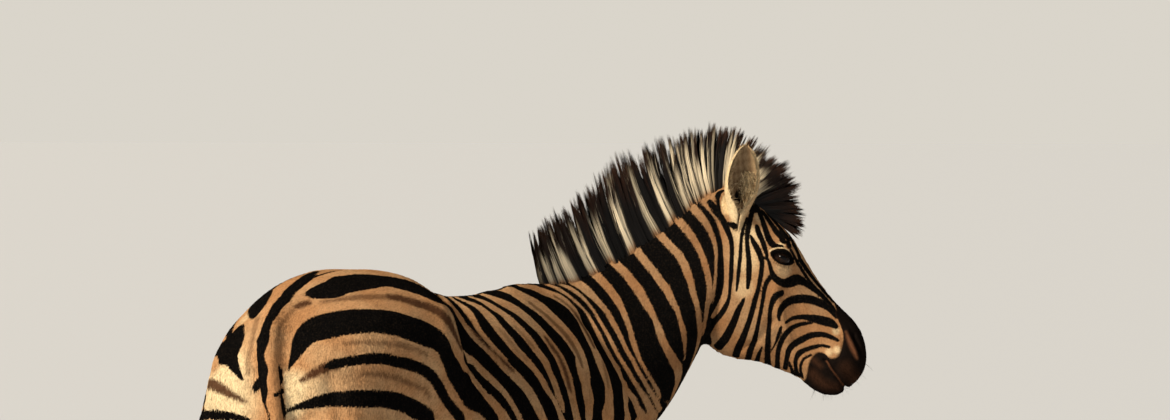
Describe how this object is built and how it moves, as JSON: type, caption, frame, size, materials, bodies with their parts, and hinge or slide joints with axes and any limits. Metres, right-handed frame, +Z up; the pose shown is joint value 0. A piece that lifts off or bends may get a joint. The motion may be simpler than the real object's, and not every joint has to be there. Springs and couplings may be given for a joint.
{
  "type": "plains zebra",
  "caption": "Life-size model of a plains zebra, standing still with its neck turned to its right and its head in profile.",
  "frame": {"origin": "on the ground, at the middle of the box that the whole animal fills, seen from above", "axes": "+X forwards along the back, +Y to the animal's left, +Z up; the neck and head turn towards -Y"},
  "size_m": [1.7842, 0.805, 1.655],
  "materials": {
    "coat": "short flat hair, black stripes on a tan to cream ground",
    "mane_hair": "stiff upright hair in black and cream bands",
    "tail_hair": "long coarse hair",
    "ear_hair": "soft short hair with a pale fringe",
    "eye": "wet gloss",
    "hoof_horn": "satin horn with growth rings"
  },
  "bodies": {
    "root": {"trunk": "coat", "neck": "coat", "head": "coat", "eye_left": "eye", "eye_right": "eye", "ear_left": "ear_hair", "ear_right": "ear_hair", "mane": "mane_hair", "forelock": "mane_hair", "foreleg_left_upper": "coat", "foreleg_left_lower": "coat", "hoof_front_left": "hoof_horn", "foreleg_right_upper": "coat", "foreleg_right_lower": "coat", "hoof_front_right": "hoof_horn", "hindleg_left_upper": "coat", "hindleg_left_lower": "coat", "hoof_hind_left": "hoof_horn", "hindleg_right_upper": "coat", "hindleg_right_lower": "coat", "hoof_hind_right": "hoof_horn", "tail_dock": "coat", "tail_tuft": "tail_hair"}
  },
  "joints": []
}
